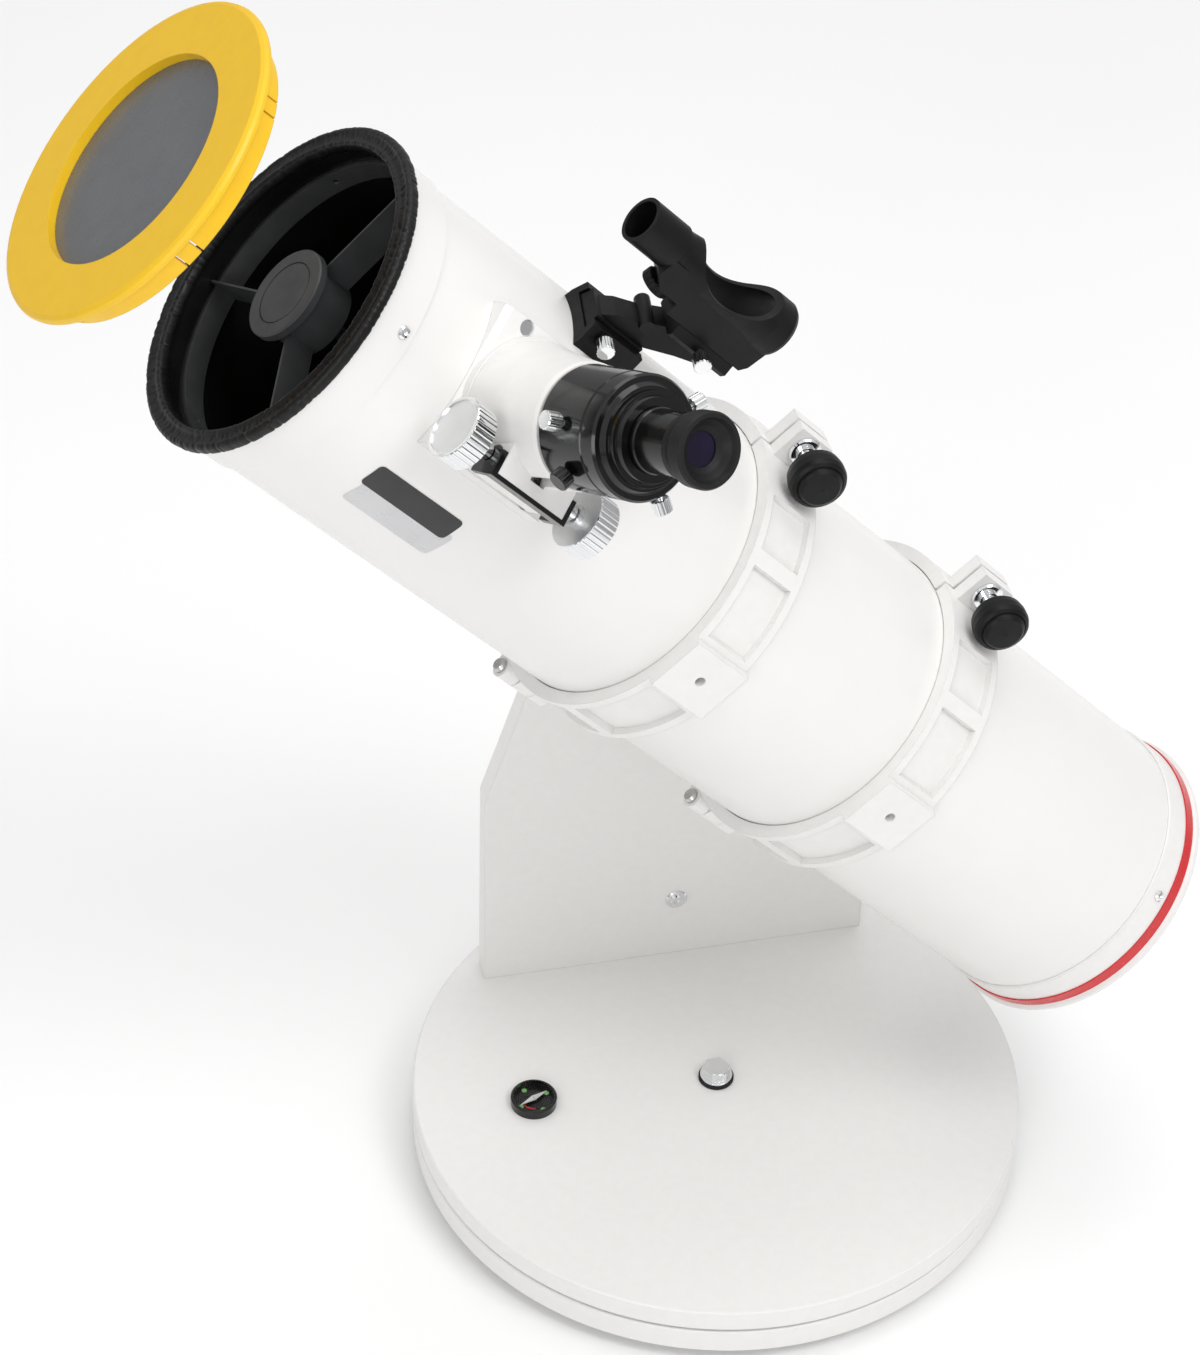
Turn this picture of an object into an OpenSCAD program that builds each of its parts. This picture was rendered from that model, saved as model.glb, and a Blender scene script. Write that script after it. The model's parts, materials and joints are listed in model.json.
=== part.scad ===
// Tabletop-class dobsonian telescope: a 150 mm f/5 Newtonian tube in two hinged rings,
// carried by one side board on a round turntable that turns on a round ground board.
// Origin: on the azimuth axis, at the surface the feet rest on. +Z up, the side board on +Y,
// the tube's sky end towards -X. Millimetres.

/* [Optical tube] */
// Outside diameter of the rolled steel tube
tube_d = 182; // [176:1:188]
// Sheet thickness of the tube
tube_wall = 1.5; // [1:0.25:2.5]
// Sky end of the steel tube, from the altitude axis
tube_front = 372; // [366:1:376]
// Rear end of the steel tube, from the altitude axis
tube_rear = -300; // [-304:1:-296]
// Rise of the tube above the horizon as stored
altitude = 46; // [30:1:60]
// Clear aperture of the primary mirror
aperture = 150; // [140:1:156]

/* [Base] */
// Diameter of both round boards
base_d = 395; // [380:5:420]
// Thickness of the ground board
ground_t = 18; // [16:1:20]
// Thickness of the turntable board
turntable_t = 16; // [14:1:18]
// Height of the rubber feet
foot_h = 9; // [6:1:12]
// Width of the side board at its foot
side_w = 261; // [240:1:280]
// Height of the altitude axis above the floor
alt_z = 430; // [420:1:450]
// Inner face of the side board, from the azimuth axis
side_y = 118; // [116:1:124]

/* [Rings] */
// Length of a tube ring along the tube
ring_w = 42; // [36:1:46]
// Middle of each ring, either side of the altitude axis
ring_s = 85; // [80:1:95]
// Outside radius of the rings
ring_r = 99; // [97:0.5:100]

/* [Focuser] */
// Place of the focuser axis along the tube
foc_s = 277; // [270:1:280]
// Turn of the focuser round the tube, from straight up towards the user
foc_phi = 55; // [45:1:65]

/* [Finder] */
// Turn of the finder round the tube
finder_phi = 8; // [2:1:10]
// Height of the sight line above the tube axis
finder_r = 160; // [156:1:162]

/* [Solar filter cap] */
// Front face of the removed filter cap, along the tube axis
cap_s = 500; // [480:5:540]
// How far the removed cap is held off the tube's axis, towards the tube's back
cap_off = 9.5; // [0:0.5:12]

/* [Hidden] */
$fn = 96;
tube_r = tube_d / 2;
tube_in = tube_r - tube_wall;
tube_y = -12;
axis_board = side_y - tube_y;
gap = 0.3;
run = 0.05;
pad_r = 103;
foot_pitch_r = 165;
glide_t = 2;
ground_top = foot_h + ground_t;
turn_z = ground_top + glide_t;
floor_z = turn_z + turntable_t;
board_t = 16;
head_r = 59;
shoulder_z = 204;
azimuth_r = 5;
bolt_top = floor_z + 4;
compass_x = -121;
compass_y = 2;
compass_r = 15;
connector_z = [95, 215];
brace_d = 52;
shaft_r = 6;
bar_w = 44;
bar_t = 14;
bar_len = 270;
saddle_x = 34;
saddle_len = 84;
saddle_wall_in = 22.5;
clamp_x = 111;
lug_top = 121;
lug_t = 8.5;
slit = 2;
hinge_x = -106;
hinge_r = 6.5;
pin_r = 2.5;
collar_r = 92.8;
collar_rear = 358;
collar_len = 25;
rear_end = -321;
primary_s = -273;
mirror_t = 24;
hub_s = 383;
hub_r = 26.5;
vane_phi = -3;
screw_phi = 57;
screw_r = 1.8;
screw_len = 6;
front_screw_s = 365;
rear_screw_s = -303;
rear_r = 92.6;
drawtube_r = 28.5;
body_top = 149.6;
holder_x = 150.6;
holder_r = 32.5;
adapter_x = 186;
pinion_x = 121.5;
pinion_y = -34.4;
pinion_teeth = 12;
tooth_module = 0.7;
knob_out = 53.7;
knob_len = 14;
knob_r = 17.7;
barrel_r = 15.85;
shoe_s = 240;
cap_r = 94.5;
plug_r = 84.6;

// ---------- frames ----------

// Tube frame: +X up from the tube's back, +Y towards the side board, +Z to the sky
module tube_frame() {
    translate([0, tube_y, alt_z]) rotate([0, altitude - 90, 0]) children();
}

// A place on the tube: +X radially out at angle phi, +Z to the sky, at distance s
module on_tube(phi, s) {
    tube_frame() rotate([0, 0, -phi]) translate([0, 0, s]) children();
}

module on_focuser() {
    on_tube(foc_phi, foc_s) children();
}

// Turns +Z of the children to the radial +X of the frame around it
module along_x(x) {
    translate([x, 0, 0]) rotate([0, 90, 0]) children();
}

// ---------- shared shapes ----------

// Tube along +Z
module ring(r_out, r_in, h) {
    rotate_extrude() translate([r_in, 0]) square([r_out - r_in, h]);
}

// Disc along +Z with a bevel on both rims
module bevel_disc(r, h, c) {
    rotate_extrude() polygon([[0, 0], [r - c, 0], [r, c], [r, h - c], [r - c, h], [0, h]]);
}

// Hexagon head across flats
module hex_head(flats, h) {
    cylinder(r = flats / 2 / cos(30), h = h, $fn = 6);
}

// Knurled head: shallow flutes cut round a bevelled disc
module knurled(r, h, flutes, flute_r) {
    difference() {
        bevel_disc(r, h, 0.6);
        for (i = [0:flutes - 1])
            rotate([0, 0, i * 360 / flutes]) translate([r + flute_r * 0.55, 0, -1])
                cylinder(r = flute_r, h = h + 2, $fn = 24);
    }
}

// Thumbscrew along +Z: thread from 0, then neck and knurled head
module thumbscrew(thread_r, thread, neck, head_r, head) {
    cylinder(r = thread_r, h = thread + neck + 1);
    translate([0, 0, thread + neck]) knurled(head_r, head, 14, head_r * 0.14);
}

// Wedge in the XY plane from angle a to b, both measured as phi
module wedge(a, b, r) {
    polygon([[0, 0], [r * cos(a), -r * sin(a)], [r * cos((a + b) / 2) * 1.3,
        -r * sin((a + b) / 2) * 1.3], [r * cos(b), -r * sin(b)]]);
}

// ---------- base ----------

module round_board(t, hole_r) {
    difference() {
        bevel_disc(base_d / 2, t, 1);
        translate([0, 0, -1]) cylinder(r = hole_r, h = t + 2);
    }
}

module ground_board() {
    color("whitesmoke") translate([0, 0, foot_h]) round_board(ground_t, azimuth_r);
}

module feet() {
    color("#202020") for (a = [90, 210, 330])
        rotate([0, 0, a]) translate([foot_pitch_r, 0, 0]) bevel_disc(15, foot_h, 1.5);
}

module glide_pads() {
    color("white") for (a = [30, 150, 270])
        rotate([0, 0, a]) translate([foot_pitch_r, 0, ground_top])
            cylinder(r = 12, h = glide_t - 0.2);
}

// Bolt, steel washer, black thrust washer and the nut under the ground board
module azimuth_bolt() {
    color("silver") {
        translate([0, 0, foot_h - 5]) cylinder(r = azimuth_r, h = bolt_top - foot_h + 5.5);
        translate([0, 0, bolt_top]) difference() {
            hex_head(16, 6.4);
            translate([0, 0, 5.9]) ring(12, 7.6, 1);
        }
        translate([0, 0, bolt_top - 1.8]) ring(10.5, azimuth_r, 1.7);
    }
    color("#202020") translate([0, 0, floor_z + gap]) ring(11.5, azimuth_r, 1.8);
    color("silver") translate([0, 0, foot_h - 6.5]) difference() {
        hex_head(16, 6.4);
        translate([0, 0, -1]) cylinder(r = azimuth_r, h = 9);
    }
}

module turntable_board() {
    color("white") translate([0, 0, turn_z]) round_board(turntable_t, azimuth_r + run);
}

// Outline of the side board: upright foot, then edges that meet the round head at a tangent
module side_outline() {
    drop = alt_z - shoulder_z;
    reach = norm([side_w / 2, drop]);
    a = acos(head_r / reach) - atan(drop / (side_w / 2));
    polygon([[-side_w / 2, floor_z], [side_w / 2, floor_z], [side_w / 2, shoulder_z],
        [head_r * cos(a), alt_z + head_r * sin(a)],
        [-head_r * cos(a), alt_z + head_r * sin(a)], [-side_w / 2, shoulder_z]]);
    translate([0, alt_z]) circle(r = head_r);
}

module side_board() {
    color("white") difference() {
        translate([0, side_y + board_t, 0]) rotate([90, 0, 0])
            linear_extrude(board_t) side_outline();
        translate([0, side_y - 1, alt_z]) rotate([-90, 0, 0]) cylinder(r = 10, h = board_t + 2);
        for (z = connector_z) translate([0, side_y - 1, z]) rotate([-90, 0, 0])
            cylinder(r = 3, h = board_t + 2);
    }
}

// Gusset behind the side board, square to it
module brace_board() {
    y0 = side_y + board_t;
    color("white") difference() {
        translate([-board_t / 2, 0, 0]) rotate([90, 0, 90]) linear_extrude(board_t)
            polygon([[y0, floor_z], [y0 + brace_d, floor_z], [y0 + brace_d, floor_z + 40],
                [y0 + 14, 300], [y0, 300]]);
        for (z = connector_z) translate([0, y0 - 1, z]) rotate([-90, 0, 0])
            cylinder(r = 3, h = 31);
    }
}

// Connector bolts with dished washers, from the side board into the brace
module board_bolts() {
    color("silver") for (z = connector_z) translate([0, side_y, z]) rotate([90, 0, 0]) {
        translate([0, 0, -44]) cylinder(r = 3, h = 45);
        rotate_extrude() polygon([[3, 0], [7.5, 0], [7.5, 0.8], [6.6, 1.8], [3, 1.8]]);
        translate([0, 0, 1]) difference() {
            rotate_extrude() polygon([[0, 0], [5, 0], [5, 1], [4.3, 2.6], [0, 2.6]]);
            translate([0, 0, 0.8]) cylinder(r = 2.3, h = 3, $fn = 6);
        }
    }
}

module compass_housing() {
    color("#1c1c1c") translate([compass_x, compass_y, floor_z]) difference() {
        rotate_extrude() polygon([[0, 0], [compass_r, 0], [compass_r, 5.6],
            [compass_r - 0.8, 6.4], [compass_r - 1.8, 6.4], [compass_r - 1.8, 2], [0, 2]]);
    }
    color("#2b7a3d") translate([compass_x, compass_y, floor_z + 2])
        cylinder(r = 0.5, h = 1.6, $fn = 32);
}

module compass_needle() {
    color("ghostwhite") translate([compass_x, compass_y, floor_z + 3.9]) difference() {
        rotate([0, 0, 25]) linear_extrude(0.6)
            polygon([[-10.5, 0], [0, -2], [10.5, 0], [0, 2]]);
        translate([0, 0, -1]) cylinder(r = 0.55, h = 3, $fn = 32);
    }
}

module compass_glass() {
    color("lightcyan", 0.35) translate([compass_x, compass_y, floor_z + 5.2])
        cylinder(r = compass_r - 1.85, h = 1);
}

// ---------- altitude bearing ----------

module altitude_bush() {
    color("#303030") translate([0, side_y, alt_z]) rotate([-90, 0, 0]) {
        ring(10 - run, shaft_r + run, board_t);
        translate([0, 0, -4.2]) ring(30, shaft_r + run, 4.2);
        translate([0, 0, board_t]) ring(17, shaft_r + run, 2.5);
    }
}

// Bed of the saddle with one wall each side of the bar, along the tube
module saddle_plate() {
    y0 = pad_r + bar_t + gap;
    y1 = axis_board - 4.5;
    color("#303030") tube_frame() difference() {
        union() {
            translate([0, 0, -saddle_len / 2]) linear_extrude(saddle_len) polygon([
                [-saddle_x, y1], [-saddle_x, pad_r + 3], [-saddle_wall_in + 2.2, pad_r + 3],
                [-saddle_wall_in, y0], [saddle_wall_in, y0],
                [saddle_wall_in - 2.2, pad_r + 3], [saddle_x, pad_r + 3], [saddle_x, y1]]);
            translate([0, y1, 0]) rotate([90, 0, 0]) bevel_disc(saddle_x - 0.5, y1 - y0, 1);
        }
        translate([0, y1 + 1, 0]) rotate([90, 0, 0]) cylinder(r = shaft_r, h = y1 - y0 + 2);
        translate([-saddle_x - 1, pad_r + 9, 0]) rotate([0, 90, 0])
            cylinder(r = 3 + run, h = saddle_x - saddle_wall_in + 5);
    }
}

// Shaft fixed in the saddle bed, through the bush to the outer knob
module altitude_shaft() {
    color("silver") tube_frame() translate([0, pad_r + bar_t + gap, 0]) rotate([-90, 0, 0])
        cylinder(r = shaft_r, h = axis_board + board_t + 18 - pad_r - bar_t);
}

module saddle_knob() {
    color("#202020") tube_frame() translate([-saddle_wall_in + 0.6, pad_r + 9, 0])
        rotate([0, -90, 0]) {
            cylinder(r = 3, h = 16);
            translate([0, 0, 13]) knurled(8, 3, 14, 1.2);
            translate([0, 0, 15.5]) knurled(11, 11, 12, 2);
        }
}

// Tension knob on the outside of the side board, with its blind bore
module altitude_knob() {
    color("#202020") translate([0, side_y + board_t + 2.9, alt_z]) rotate([-90, 0, 0])
        difference() {
            union() {
                cylinder(r = 17, h = 6);
                translate([0, 0, 5]) knurled(27, 16, 10, 6);
            }
            translate([0, 0, -1]) cylinder(r = shaft_r + run, h = 17.6);
        }
}

module dovetail_bar() {
    color("#303030") tube_frame() difference() {
        translate([0, 0, -bar_len / 2]) linear_extrude(bar_len) polygon([
            [-bar_w / 2 + 3.6, pad_r], [bar_w / 2 - 3.6, pad_r],
            [bar_w / 2, pad_r + bar_t], [-bar_w / 2, pad_r + bar_t]]);
        for (s = [-ring_s, ring_s]) translate([0, pad_r - 1, s]) rotate([-90, 0, 0]) {
            cylinder(r = 3.2, h = bar_t + 2);
            translate([0, 0, 8]) cylinder(r = 6, h = bar_t);
        }
    }
}

// ---------- tube rings ----------

// Pockets cast between the rims of a ring half, given on the user's side
module pockets() {
    for (p = [[24, 44], [50, 77], [103, 136], [142, 164]])
        translate([0, 0, -ring_w / 2 + 5.5]) linear_extrude(ring_w - 11) difference() {
            intersection() {
                difference() {
                    circle(r = ring_r + 9);
                    circle(r = ring_r - 4);
                }
                wedge(p[0], p[1], 100);
            }
            translate([-22, -pad_r - 1]) square([44, 20]);
        }
}

// Half ring with its flat pad and clamp lug, on the user's side of the split
module ring_half(bolt_hole) {
    difference() {
        translate([0, 0, -ring_w / 2]) linear_extrude(ring_w) difference() {
            union() {
                circle(r = ring_r);
                translate([-18, -pad_r]) square([36, 30]);
            }
            circle(r = tube_r + gap + 0.1);
            translate([-150, -slit / 2]) square([300, 150]);
        }
        pockets();
        translate([0, -pad_r + 9.5, 0]) rotate([90, 0, 0]) cylinder(r = 3, h = 12);
    }
    difference() {
        translate([ring_r - 4, -slit / 2 - lug_t, -13]) cube([lug_top - ring_r + 4, lug_t, 26]);
        translate([clamp_x, 1, 0]) rotate([90, 0, 0]) cylinder(r = bolt_hole, h = 14);
    }
}

// One knuckle on the hinge pin, joined to the half ring, from s1 to s2
module knuckle(s1, s2) {
    translate([0, 0, s1]) linear_extrude(s2 - s1) difference() {
        union() {
            translate([hinge_x, 0]) circle(r = hinge_r);
            polygon([[hinge_x - 3, -hinge_r + 0.6], [hinge_x + 13.5, -hinge_r - 5],
                [hinge_x + 13.5, -slit / 2], [hinge_x, -slit / 2]]);
        }
        translate([hinge_x, 0]) circle(r = pin_r + run);
        circle(r = tube_r + gap + 0.1);
    }
}

// Swinging half: the middle knuckle
module ring_swing() {
    ring_half(4 + run);
    knuckle(-7, 7);
}

// Fixed half on the board side: outer knuckles
module ring_fixed() {
    mirror([0, 1, 0]) {
        ring_half(4.6);
        knuckle(-ring_w / 2 + 2, -7 - gap);
        knuckle(7 + gap, ring_w / 2 - 2);
    }
}

module ring_front_fixed() {
    color("white") on_tube(0, ring_s) ring_fixed();
}

module ring_front_swing() {
    color("white") on_tube(0, ring_s) ring_swing();
}

module ring_rear_fixed() {
    color("white") on_tube(0, -ring_s) ring_fixed();
}

module ring_rear_swing() {
    color("white") on_tube(0, -ring_s) ring_swing();
}

// Hinge screws, and the bolts that hold the rings to the dovetail bar
module ring_hinge_pins() {
    color("silver") for (s = [-ring_s, ring_s]) {
        on_tube(0, s) translate([hinge_x, 0, -ring_w / 2]) {
            cylinder(r = pin_r, h = ring_w + 1);
            translate([0, 0, ring_w - 1.8]) difference() {
                rotate_extrude() polygon([[0, 0], [4.6, 0], [4.6, 1.5], [3.4, 3.2], [0, 3.2]]);
                translate([0, 0, 1.6]) cylinder(r = 1.9, h = 3, $fn = 6);
            }
        }
        on_tube(0, s) translate([0, pad_r - 9, 0]) rotate([-90, 0, 0]) {
            cylinder(r = 3, h = 16.5);
            translate([0, 0, 16.4]) difference() {
                cylinder(r = 5, h = 5.6);
                translate([0, 0, 2.6]) cylinder(r = 2.6, h = 5, $fn = 6);
            }
        }
    }
}

// Clamp bolt with washer and stepped round knob, head towards the user
module ring_knob() {
    translate([clamp_x, -slit / 2 - lug_t, 0]) rotate([90, 0, 0]) {
        color("silver") {
            translate([0, 0, -2 * lug_t + 1]) cylinder(r = 4, h = 2 * lug_t + 18);
            translate([0, 0, gap]) difference() {
                rotate_extrude() polygon([[3.9, 0], [9.5, 0], [9.5, 1.2], [8.6, 2.2],
                    [5.6, 2.2], [5.6, 4.4], [3.9, 4.4]]);
            }
        }
        color("#1c1c1c") translate([0, 0, 15.5]) rotate_extrude()
            polygon([[0, 0], [11, 0], [13.4, 1], [15.6, 4], [16.5, 8.5], [16.5, 13],
                [15.6, 15.6], [13.6, 17], [12.8, 16.6], [12.2, 18.4], [10.4, 20], [0, 20.6]]);
    }
}

module ring_knob_front() {
    on_tube(0, ring_s) ring_knob();
}

module ring_knob_rear() {
    on_tube(0, -ring_s) ring_knob();
}

// ---------- optical tube ----------

module main_tube() {
    color("white") difference() {
        tube_frame() translate([0, 0, tube_rear]) ring(tube_r, tube_in, tube_front - tube_rear);
        on_focuser() along_x(60) cylinder(r = 31, h = 60);
        on_focuser() translate([60, -36, -5.5]) cube([40, 16, 11]);
        screw_holes(front_screw_s);
    }
}

module front_ring() {
    color("white") difference() {
        tube_frame() translate([0, 0, collar_rear]) rotate_extrude()
            polygon([[tube_r, 0], [collar_r, 0.6], [collar_r, collar_len],
                [tube_in - 1.5, collar_len], [tube_in - 1.5, tube_front - collar_rear],
                [tube_r, tube_front - collar_rear]]);
        screw_holes(front_screw_s);
    }
}

// Ribbed black trim with a rolled lip
module rim_trim() {
    lip = 2.4;
    color("#1c1c1c") tube_frame() translate([0, 0, collar_rear + collar_len]) rotate_extrude() {
        polygon([[tube_in - 3.5, 0], [collar_r + 3.4, 0], [collar_r + 5, 1.4],
            [collar_r + 5.2, 5.2], [collar_r + 3.4, 7], [tube_in - 1.6, 7],
            [tube_in - 3.5, 5]]);
        translate([collar_r + 2.8, 5.6]) circle(r = lip, $fn = 32);
        translate([tube_in - 1.2, 5.6]) circle(r = lip, $fn = 32);
    }
}

// Outer ring bolted to the tube, three vanes, hub and the long centre bolt
module spider() {
    rim_in = tube_in - 3.5;
    color("#303030") difference() {
        tube_frame() {
            translate([0, 0, collar_rear]) ring(tube_in - 0.1, rim_in, 13.5);
            for (k = [0:2]) rotate([0, 0, -vane_phi - 120 * k])
                translate([hub_r - 6, -0.6, hub_s - 26]) cube([rim_in - hub_r + 7, 1.2, 19]);
        }
        screw_holes(front_screw_s);
    }
    color("#303030") tube_frame() {
        translate([0, 0, hub_s - 28]) ring(hub_r - 5, 4, 24);
        translate([0, 0, hub_s - 5]) rotate_extrude() polygon([[0, 0], [hub_r, 0], [hub_r, 4.2],
            [hub_r - 0.8, 5], [18.6, 5], [18.6, 4], [17.8, 4], [17.8, 4.8], [0, 4.8]]);
        translate([0, 0, hub_s - 60]) cylinder(r = 3.5, h = 57);
    }
}

// Round carrier cut at 45 degrees, facing the focuser
module secondary_holder() {
    color("#202020") on_focuser() difference() {
        translate([0, 0, -26]) cylinder(r = 21, h = 64);
        rotate([0, -45, 0]) translate([-60, -60, -90]) cube([120, 120, 90.2]);
        translate([0, 0, 17]) cylinder(r = 3.5, h = 40);
    }
}

module secondary_mirror() {
    color("lightsteelblue") on_focuser() rotate([0, -45, 0]) translate([0, 0, -5.4])
        intersection() {
            cylinder(r = 32, h = 5.4);
            rotate([0, 45, 0]) cylinder(r = 23, h = 120, center = true);
        }
}

// Button screws round the front ring and the rear ring
module button_screw(r) {
    difference() {
        rotate_extrude() polygon([[0, -screw_len], [screw_r, -screw_len], [screw_r, 0], [r, 0],
            [r, 0.8], [r - 1, 2], [0, 2.4]]);
        translate([0, 0, 1]) cylinder(r = 1.2, h = 3, $fn = 6);
    }
}

module tube_screws() {
    color("silver") {
        for (k = [0:2]) on_tube(screw_phi + 120 * k, front_screw_s)
            along_x(collar_r) button_screw(3.6);
        for (k = [0:2]) on_tube(screw_phi + 120 * k, rear_screw_s)
            along_x(rear_r + 0.1) button_screw(3.4);
    }
}

// Clear holes for one round of those screws
module screw_holes(s) {
    for (k = [0:2]) on_tube(screw_phi + 120 * k, s) along_x(tube_in - 8)
        cylinder(r = screw_r, h = 20);
}

module rear_ring() {
    color("white") difference() {
        tube_frame() translate([0, 0, rear_end]) rotate_extrude()
            polygon([[tube_in - 3, 0], [95, 0], [95.6, 1], [95.6, 3.2], [93.4, 4.6],
                [91.4, 4.6], [91.4, 11.2], [rear_r + 0.1, 11.2], [rear_r, 27.4], [tube_r, 28],
                [tube_r, 21], [tube_in - 3, 21]]);
        screw_holes(rear_screw_s);
    }
}

module red_band() {
    color("crimson") tube_frame() translate([0, 0, rear_end + 4.6]) ring(93.6, 91.4, 6.5);
}

// Cast three-arm cell inside the rear ring
module mirror_cell() {
    color("#303030") tube_frame() translate([0, 0, primary_s - mirror_t - 14]) {
        difference() {
            union() {
                ring(tube_in - 3, 70, 7);
                for (k = [0:2]) rotate([0, 0, 120 * k + 30]) translate([0, -12, 0])
                    cube([74, 24, 7]);
                cylinder(r = 24, h = 7);
            }
            for (k = [0:2]) rotate([0, 0, 120 * k + 30]) translate([60, 0, -1])
                cylinder(r = 3 + run, h = 12);
        }
        for (k = [0:2]) rotate([0, 0, 120 * k + 90]) translate([66, -5, 6]) cube([6, 10, 8]);
    }
}

module primary_mirror() {
    color("lightsteelblue") tube_frame() translate([0, 0, primary_s - mirror_t]) difference() {
        bevel_disc(aperture / 2, mirror_t, 1);
        translate([0, 0, 1500 + mirror_t - 1.8]) sphere(r = 1500, $fn = 400);
    }
}

module collimation_knob(k) {
    color("#202020") tube_frame() rotate([0, 0, 120 * k + 30])
        translate([60, 0, primary_s - mirror_t - 14 - 8.6]) {
            knurled(8, 8, 12, 1.4);
            translate([0, 0, 7]) cylinder(r = 3, h = 13);
        }
}

module collimation_knob_1() { collimation_knob(0); }
module collimation_knob_2() { collimation_knob(1); }
module collimation_knob_3() { collimation_knob(2); }

// ---------- focuser ----------

// Saddle plate bolted to the tube, with raised corner strips
module focuser_base() {
    color("whitesmoke") on_focuser() difference() {
        union() {
            translate([0, 42, 0]) rotate([90, 0, 0]) linear_extrude(84)
                polygon([[70, -40], [93, -40], [94.5, -38.5], [94.5, 38], [91.5, 42], [70, 42]]);
            along_x(90) cylinder(r = 41, h = 7);
        }
        translate([0, 0, -60]) cylinder(r = tube_r + run, h = 120);
        along_x(60) cylinder(r = 30.2, h = 60);
        translate([60, -36, -5.5]) cube([50, 16, 11]);
        for (y = [-37.5, 37.5]) for (z = [-25, 25]) translate([0, y, z]) along_x(91)
            cylinder(r = 4.4, h = 6);
    }
    color("silver") on_focuser() for (y = [-37.5, 37.5]) for (z = [-25, 25])
        translate([0, y, z]) along_x(90.5) cylinder(r = 4.2, h = 3);
}

module rack_tooth() {
    p = PI * tooth_module;
    polygon([[-p * 0.34, 0], [-p * 0.12, 1.2], [p * 0.12, 1.2], [p * 0.34, 0]]);
}

// Conical housing with the pinion block on the user's side
module focuser_body() {
    color("whitesmoke") on_focuser() difference() {
        union() {
            along_x(97) rotate_extrude() polygon([[28, 0], [40, 0], [39.4, 6], [37.4, 16],
                [34.8, 34], [33.4, 50], [32.6, body_top - 97], [28, body_top - 97]]);
            translate([103, -43, -24]) cube([30, 30, 48]);
        }
        along_x(80) cylinder(r = drawtube_r + run, h = 90);
        translate([pinion_x, pinion_y, -60]) cylinder(r = 6.6, h = 120);
        translate([90, -36, -5]) cube([80, 12, 10]);
    }
}

// Black bearing cover over the pinion, with four screws
module pinion_cover() {
    color("#1c1c1c") on_focuser() difference() {
        union() {
            translate([pinion_x + 3, -45.5, -27.5]) cube([8, 2.5, 55]);
            for (z = [-27.5, 24]) translate([pinion_x - 7, -45.5, z]) cube([18, 14.5, 3.5]);
        }
        translate([pinion_x, pinion_y, -60]) cylinder(r = 2.5 + run, h = 120);
    }
    color("silver") on_focuser() for (z = [-20, -7, 7, 20])
        translate([pinion_x + 0.6, -43, z]) rotate([90, 0, 0]) bevel_disc(2, 1.4, 0.4);
}

module pinion_shaft() {
    pr = pinion_teeth * tooth_module / 2;
    color("silver") on_focuser() translate([pinion_x, pinion_y, 0]) {
        translate([0, 0, -knob_out + 3]) cylinder(r = 2.5, h = 2 * knob_out - 6);
        for (m = [0, 1]) mirror([0, 0, m]) translate([0, 0, 28]) cylinder(r = 4.2, h = 8);
        translate([0, 0, -4.5]) linear_extrude(9) union() {
            circle(r = pr - 0.85);
            for (i = [0:pinion_teeth - 1]) rotate([0, 0, i * 360 / pinion_teeth + 90])
                polygon([[pr - 1, -0.62], [pr - 1, 0.62], [pr + 0.5, 0.24], [pr + 0.5, -0.24]]);
        }
    }
}

// Two knurled chrome knobs with grip pads on their faces
module focus_knobs() {
    color("gainsboro") on_focuser() translate([pinion_x, pinion_y, 0])
        for (m = [0, 1]) mirror([0, 0, m]) translate([0, 0, knob_out - knob_len])
            difference() {
                union() {
                    knurled(knob_r, knob_len, 36, 1);
                    translate([0, 0, -3]) cylinder(r = 6, h = 4);
                }
                translate([0, 0, -4]) cylinder(r = 2.5, h = knob_len + 1);
                translate([0, 0, knob_len - 0.8]) cylinder(r = knob_r - 2, h = 2);
            }
}

// Chrome drawtube with its rack
module drawtube() {
    pr = pinion_teeth * tooth_module / 2;
    p = PI * tooth_module;
    root_y = pinion_y + pr + 0.62;
    color("silver") on_focuser() {
        along_x(82) ring(drawtube_r, drawtube_r - 2, holder_x - 82 + 4);
        difference() {
            translate([84, root_y, -4]) cube([62, 4, 8]);
            along_x(80) cylinder(r = drawtube_r - 1, h = 70);
        }
        translate([pinion_x, root_y + 0.05, -4]) linear_extrude(8)
            for (i = [-16:10]) translate([(i + 0.5) * p, 0]) mirror([0, 1]) rack_tooth();
    }
}

// Black compression ring that ends the drawtube
module holder_ring() {
    color("#141414") on_focuser() difference() {
        along_x(holder_x) rotate_extrude() polygon([[drawtube_r, 0], [holder_r - 1, 0],
            [holder_r, 1], [holder_r, adapter_x - holder_x - 1],
            [holder_r - 0.8, adapter_x - holder_x - gap],
            [25.4, adapter_x - holder_x - gap], [25.4, 6], [drawtube_r, 5]]);
        for (a = [22, 68]) on_holder(a, 170) cylinder(r = 2 + run, h = 30);
    }
}

// Radial place on the holder ring at angle a, height x; +Z points outwards
module on_holder(a, x) {
    translate([x, 0, 0]) rotate([a, 0, 0]) translate([0, 0, 18]) children();
}

module holder_screw() {
    color("silver") on_focuser() on_holder(22, 170) translate([0, 0, 7.8])
        thumbscrew(2, 7, 2, 5, 9);
}

module lock_screw() {
    color("#1c1c1c") on_focuser() on_holder(68, 170) translate([0, 0, 7.8])
        thumbscrew(2, 7, 1.4, 5.6, 7);
}

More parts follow.
